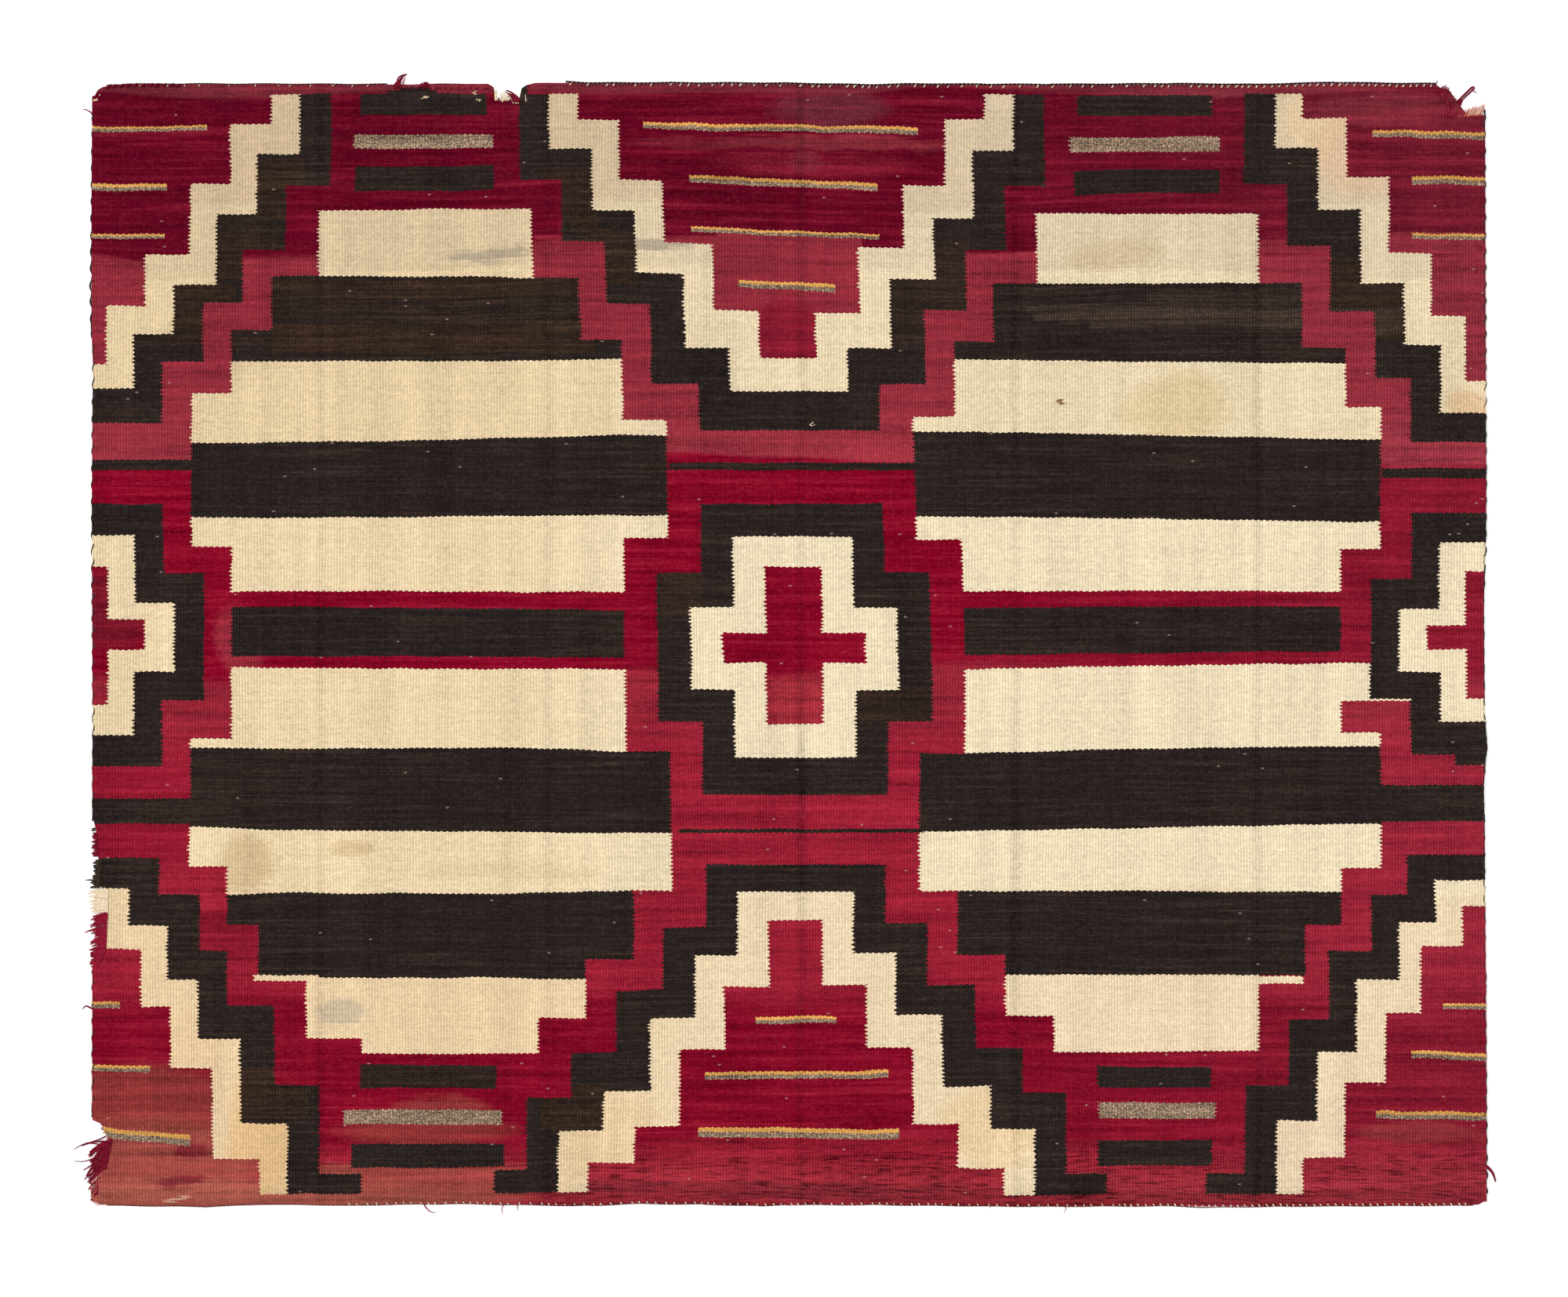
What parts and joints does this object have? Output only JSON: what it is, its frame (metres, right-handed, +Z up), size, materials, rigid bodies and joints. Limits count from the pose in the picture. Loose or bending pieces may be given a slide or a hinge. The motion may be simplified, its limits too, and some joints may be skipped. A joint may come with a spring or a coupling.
{
  "type": "navajo rug",
  "caption": "Handwoven wool rug lying flat: stepped crosses on black and white bands, corded edges, worn and frayed in places.",
  "frame": {"origin": "on the floor, under the middle of the rug's outline with its frayed ends", "axes": "+X along the wefts (the rug's long way), +Y along the warps towards the edge with the notch, +Z up out of the face"},
  "size_m": [1.867, 1.4958, 0.003],
  "materials": {
    "woven_wool": "weft-faced tapestry of handspun wool, ribbed along the warps, matte",
    "dark_cord": "two-ply twined wool cord, matte",
    "rose_cord": "thin worn wool cord, matte",
    "loose_yarn": "loose single-ply wool yarn, matte"
  },
  "bodies": {
    "root": {"rug_cloth": "woven_wool", "edge_cord_top_left": "dark_cord", "edge_cord_top": "dark_cord", "edge_cord_right": "dark_cord", "edge_cord_left_upper": "dark_cord", "edge_cord_left_lower": "dark_cord", "edge_cord_bottom": "rose_cord", "fray_top_left": "loose_yarn", "fray_top": "loose_yarn", "fray_top_right": "loose_yarn", "fray_left": "loose_yarn", "fray_bottom_left": "loose_yarn"}
  },
  "joints": []
}
